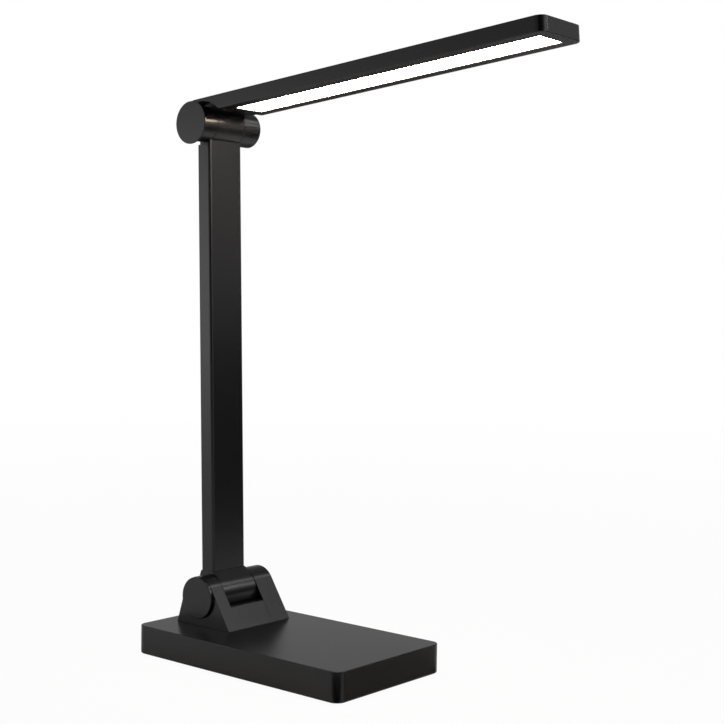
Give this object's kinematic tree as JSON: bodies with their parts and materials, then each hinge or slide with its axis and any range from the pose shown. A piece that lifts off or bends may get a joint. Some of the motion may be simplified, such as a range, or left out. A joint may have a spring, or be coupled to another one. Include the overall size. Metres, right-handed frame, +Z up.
{
  "type": "folding led desk lamp",
  "caption": "Black folding desk lamp: weighted rectangular base, flat upright arm on a friction hinge, and a bar-shaped light head with an edge-lit diffuser panel.",
  "frame": {"origin": "centre of the anti-slip pad's underside, on the desk", "axes": "+Z up; the light head reaches towards -Y, which is the front; both hinge axes run along X"},
  "size_m": [0.095, 0.2773, 0.3728],
  "materials": {
    "satin_black_plastic": "satin, lightly polished moulded ABS",
    "plain_black_plastic": "matte moulded plastic",
    "dark_components": "matte epoxy and ferrite",
    "pad_rubber": "matte",
    "foam": "matte conductive foam",
    "ballast_steel": "ground",
    "zinc_plated_steel": "satin zinc plating",
    "blackened_steel": "black oxide",
    "circuit_board": "green solder mask",
    "white_circuit_board": "white solder mask",
    "brass_pin": "turned",
    "led_package": "phosphor in clear silicone",
    "wire_insulation": "smooth PVC",
    "opal_diffuser": "opal, lit from inside",
    "clear_acrylic": "polished",
    "white_reflector": "matte white film",
    "aluminium_sheet": "mill finish"
  },
  "bodies": {
    "base": {"base_top_shell": "satin_black_plastic", "base_bottom_cover": "plain_black_plastic", "base_screws": "zinc_plated_steel", "anti_slip_pad": "pad_rubber", "ballast_plate": "ballast_steel", "ballast_screws": "zinc_plated_steel", "control_board": "circuit_board", "board_components": "dark_components", "board_screws": "zinc_plated_steel", "touch_pads": "foam", "power_socket": "plain_black_plastic", "socket_pin": "brass_pin", "socket_board": "circuit_board", "base_wires": "wire_insulation", "hinge_saddle": "satin_black_plastic", "saddle_side_cover": "satin_black_plastic", "saddle_screws": "zinc_plated_steel", "saddle_cap": "satin_black_plastic", "lower_hinge_bolt": "ballast_steel", "lower_hinge_nut": "zinc_plated_steel", "lower_spring_washers": "ballast_steel", "lower_friction_washers": "plain_black_plastic"},
    "arm": {"arm_front_shell": "satin_black_plastic", "arm_back_cover": "satin_black_plastic", "arm_lower_knuckle": "satin_black_plastic", "arm_upper_knuckle": "satin_black_plastic", "arm_screws": "zinc_plated_steel", "arm_wires": "wire_insulation"},
    "head": {"head_housing": "satin_black_plastic", "head_bezel": "satin_black_plastic", "led_diffuser": "opal_diffuser", "light_guide": "clear_acrylic", "reflector_sheet": "white_reflector", "led_strips": "white_circuit_board", "led_chips": "led_package", "heat_spreader": "aluminium_sheet", "bezel_screws": "blackened_steel", "head_hinge_caps": "satin_black_plastic", "upper_hinge_bolt": "ballast_steel", "upper_hinge_nut": "zinc_plated_steel", "upper_spring_washers": "ballast_steel", "upper_friction_washers": "plain_black_plastic", "head_wires": "wire_insulation"}
  },
  "joints": [
    {"name": "arm_fold", "type": "hinge", "parent": "base", "child": "arm", "pos_m": [0.0015, 0.0548, 0.0364], "axis": [1, 0, 0], "range_deg": [-30, 91.5]},
    {"name": "head_fold", "type": "hinge", "parent": "arm", "child": "head", "pos_m": [0.0015, 0.06526, 0.33643], "axis": [1, 0, 0], "range_deg": [-86, 93]}
  ]
}
